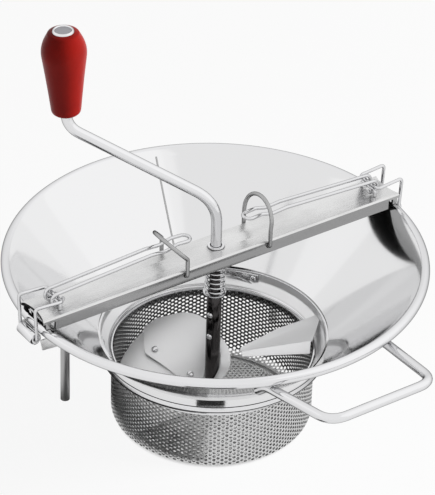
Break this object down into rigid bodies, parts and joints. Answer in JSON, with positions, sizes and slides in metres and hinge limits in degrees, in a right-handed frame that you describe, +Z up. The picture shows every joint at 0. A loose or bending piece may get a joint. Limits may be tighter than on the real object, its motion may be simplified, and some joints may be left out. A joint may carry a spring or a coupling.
{
  "type": "food mill",
  "caption": "Hand cranked food mill: flared steel bowl over a perforated basket, latched crossbar, and an offset crank with a red grip that turns a sprung helical paddle.",
  "frame": {"origin": "middle of the underside of the sieve basket's floor, on the shaft's axis", "axes": "+Z up along the shaft, X along the crossbar, -Y out through the loop handle"},
  "size_m": [0.325, 0.361, 0.3211],
  "materials": {
    "polished_steel": "polished stainless steel",
    "brushed_steel": "satin brushed stainless steel",
    "perforated_steel": "perforated stainless steel, satin",
    "wire_steel": "bright drawn wire",
    "bright_steel": "bright turned metal",
    "grip_red": "glossy moulded plastic or lacquered wood, dark red"
  },
  "bodies": {
    "frame": {"bowl": "polished_steel", "neck_ring": "polished_steel", "sieve_rim": "polished_steel", "sieve_wall": "perforated_steel", "sieve_floor": "perforated_steel", "sieve_clip_1": "brushed_steel", "sieve_clip_2": "brushed_steel", "sieve_clip_3": "brushed_steel", "clip_rivet_1": "brushed_steel", "clip_rivet_2": "brushed_steel", "clip_rivet_3": "brushed_steel", "stop_plate": "brushed_steel", "handle_loop": "polished_steel", "leg_left": "brushed_steel", "leg_right": "brushed_steel", "crossbar": "brushed_steel", "shaft_bush": "bright_steel", "latch_staple_left": "wire_steel", "latch_staple_right": "wire_steel", "latch_keeper_left": "brushed_steel", "latch_keeper_right": "brushed_steel", "pressure_spring": "wire_steel"},
    "lift": {"thrust_washer": "wire_steel"},
    "crank": {"crank_rod": "polished_steel", "grip_washer": "bright_steel", "grip_cap": "bright_steel", "hub_sleeve": "brushed_steel", "hub_screw_lower": "wire_steel", "hub_screw_upper": "wire_steel", "paddle_wing": "polished_steel", "paddle_presser": "polished_steel", "paddle_rivet_inner": "polished_steel", "paddle_rivet_outer": "polished_steel", "hub_flight": "polished_steel"},
    "grip": {"grip": "grip_red"},
    "hook_left": {"hook_left": "wire_steel"},
    "lever_left": {"latch_lever_left": "wire_steel"},
    "link_left": {"latch_link_left": "wire_steel"},
    "roller_left": {"latch_roller_left": "bright_steel"},
    "hook_right": {"hook_right": "wire_steel"},
    "lever_right": {"latch_lever_right": "wire_steel"},
    "link_right": {"latch_link_right": "wire_steel"},
    "roller_right": {"latch_roller_right": "bright_steel"}
  },
  "joints": [
    {"name": "paddle_lift", "type": "slide", "parent": "frame", "child": "lift", "axis": [0, 0, 1], "range_m": [0, 0.004], "stiffness_N_per_m": 1500, "springref_m": -0.01, "deforming": ["pressure_spring"]},
    {"name": "crank_spin", "type": "hinge", "parent": "lift", "child": "crank", "pos_m": [0, 0, 0], "axis": [0, 0, 1], "continuous": true},
    {"name": "grip_spin", "type": "hinge", "parent": "crank", "child": "grip", "pos_m": [-0.08896, 0.06299, 0.28723], "axis": [-0.0256, 0.0182, 0.9995], "continuous": true},
    {"name": "hook_swing_left", "type": "hinge", "parent": "frame", "child": "hook_left", "pos_m": [-0.036, 0, 0.1414], "axis": [0, 1, 0], "range_deg": [0, 78]},
    {"name": "lever_lift_left", "type": "hinge", "parent": "frame", "child": "lever_left", "pos_m": [-0.137, 0, 0.15046], "axis": [0, -1, 0], "range_deg": [0, 2.5]},
    {"name": "link_swing_left", "type": "hinge", "parent": "lever_left", "child": "link_left", "pos_m": [-0.137, 0, 0.15359], "axis": [0, 1, 0], "range_deg": [0, 55]},
    {"name": "roller_spin_left", "type": "hinge", "parent": "link_left", "child": "roller_left", "pos_m": [-0.158, 0, 0.12845], "axis": [0, 1, 0], "continuous": true},
    {"name": "hook_swing_right", "type": "hinge", "parent": "frame", "child": "hook_right", "pos_m": [0.036, 0, 0.1414], "axis": [0, -1, 0], "range_deg": [0, 58]},
    {"name": "lever_lift_right", "type": "hinge", "parent": "frame", "child": "lever_right", "pos_m": [0.137, 0, 0.15046], "axis": [0, 1, 0], "range_deg": [0, 2.5]},
    {"name": "link_swing_right", "type": "hinge", "parent": "lever_right", "child": "link_right", "pos_m": [0.137, 0, 0.15359], "axis": [0, -1, 0], "range_deg": [0, 55]},
    {"name": "roller_spin_right", "type": "hinge", "parent": "link_right", "child": "roller_right", "pos_m": [0.158, 0, 0.12845], "axis": [0, 1, 0], "continuous": true}
  ]
}
